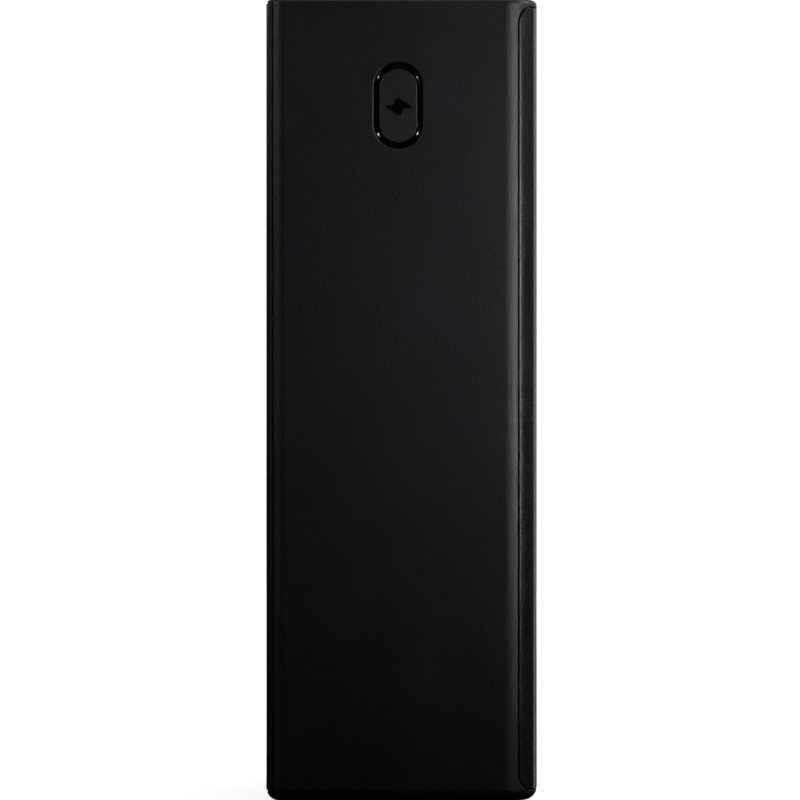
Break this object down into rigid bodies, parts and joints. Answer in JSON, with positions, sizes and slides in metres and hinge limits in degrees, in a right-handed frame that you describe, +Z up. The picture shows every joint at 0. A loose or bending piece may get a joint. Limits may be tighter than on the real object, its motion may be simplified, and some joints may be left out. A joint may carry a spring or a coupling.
{
  "type": "power bank",
  "caption": "Upright square-bar power bank: black tray housing with wrapped front panel, stadium power button with a bolt sign, and USB sockets in the top end.",
  "frame": {"origin": "centre of the base, on the surface that the bar stands on", "axes": "+Z up along the bar's length to the socket end, -Y out of the face that carries the power button, +X out of the front panel with the charge lights"},
  "size_m": [0.0528, 0.05, 0.156],
  "materials": {
    "housing": "fine-grained matt, near-black with a violet cast",
    "front_panel": "satin black, slightly warm",
    "rear_panel": "satin black, slightly green",
    "ring": "piano black, polished",
    "button_cap": "matt near-black",
    "port_plate": "satin black",
    "light_pipe": "frosted clear",
    "led": "moulded LED package",
    "socket_steel": "drawn and plated",
    "socket_tongue": "moulded black",
    "steel": "bright zinc",
    "nickel": "bright nickel",
    "aluminium": "plain",
    "cell": null,
    "holder": "moulded grey",
    "board": "green solder mask",
    "chip": "moulded epoxy",
    "fibre_paper": "plain",
    "foam": "closed-cell foam",
    "thermal_pad": "soft silicone",
    "ribbon": "amber film",
    "red_wire": "silicone",
    "black_wire": "silicone",
    "yellow_wire": "silicone",
    "resin": "epoxy bead"
  },
  "bodies": {
    "case": {"housing": "housing", "front_panel": "front_panel", "rear_panel": "rear_panel", "port_plate": "port_plate", "port_board": "board", "usb_c_1_shell": "socket_steel", "usb_c_1_tongue": "socket_tongue", "usb_c_2_shell": "socket_steel", "usb_c_2_tongue": "socket_tongue", "usb_a_shell": "socket_steel", "usb_a_tongue": "socket_tongue", "button_bezel": "ring", "switch_body": "steel", "switch_dome": "steel", "button_board": "board", "indicator_board": "board", "light_pipe_1": "light_pipe", "led_1": "led", "light_pipe_2": "light_pipe", "led_2": "led", "light_pipe_3": "light_pipe", "led_3": "led", "light_pipe_4": "light_pipe", "led_4": "led", "cell_1": "cell", "cell_2": "cell", "cell_3": "cell", "cell_4": "cell", "cell_5": "cell", "cell_6": "cell", "cell_holder_1": "holder", "cell_holder_2": "holder", "cell_holder_3": "holder", "cell_holder_4": "holder", "nickel_strip_bottom": "nickel", "nickel_strip_middle": "nickel", "nickel_strip_top": "nickel", "insulating_sheet": "fibre_paper", "negative_lead": "black_wire", "balance_lead": "yellow_wire", "positive_lead": "red_wire", "foam_pad_1": "foam", "foam_pad_2": "foam", "temperature_sensor": "resin", "main_board": "board", "board_screw_1": "steel", "board_screw_2": "steel", "power_coil_1": "chip", "power_coil_2": "chip", "charger_chip": "chip", "controller_chip": "chip", "capacitor_1": "aluminium", "capacitor_2": "aluminium", "heat_spreader": "aluminium", "thermal_pad": "thermal_pad", "light_ribbon": "ribbon", "button_ribbon": "ribbon"},
    "button": {"power_button": "button_cap", "bolt_icon": "ring"},
    "plunger": {"switch_plunger": "chip"}
  },
  "joints": [
    {"name": "button_press", "type": "slide", "parent": "case", "child": "button", "axis": [0, 1, 0], "range_m": [0, 0.0004], "stiffness_N_per_m": 2500, "springref_m": -0.0006},
    {"name": "plunger_travel", "type": "slide", "parent": "case", "child": "plunger", "axis": [0, 1, 0], "range_m": [0, 0.0004], "deforming": ["switch_dome"]}
  ],
  "couplings": [
    {"joint": "plunger_travel", "follows": "button_press", "ratio": 1}
  ]
}
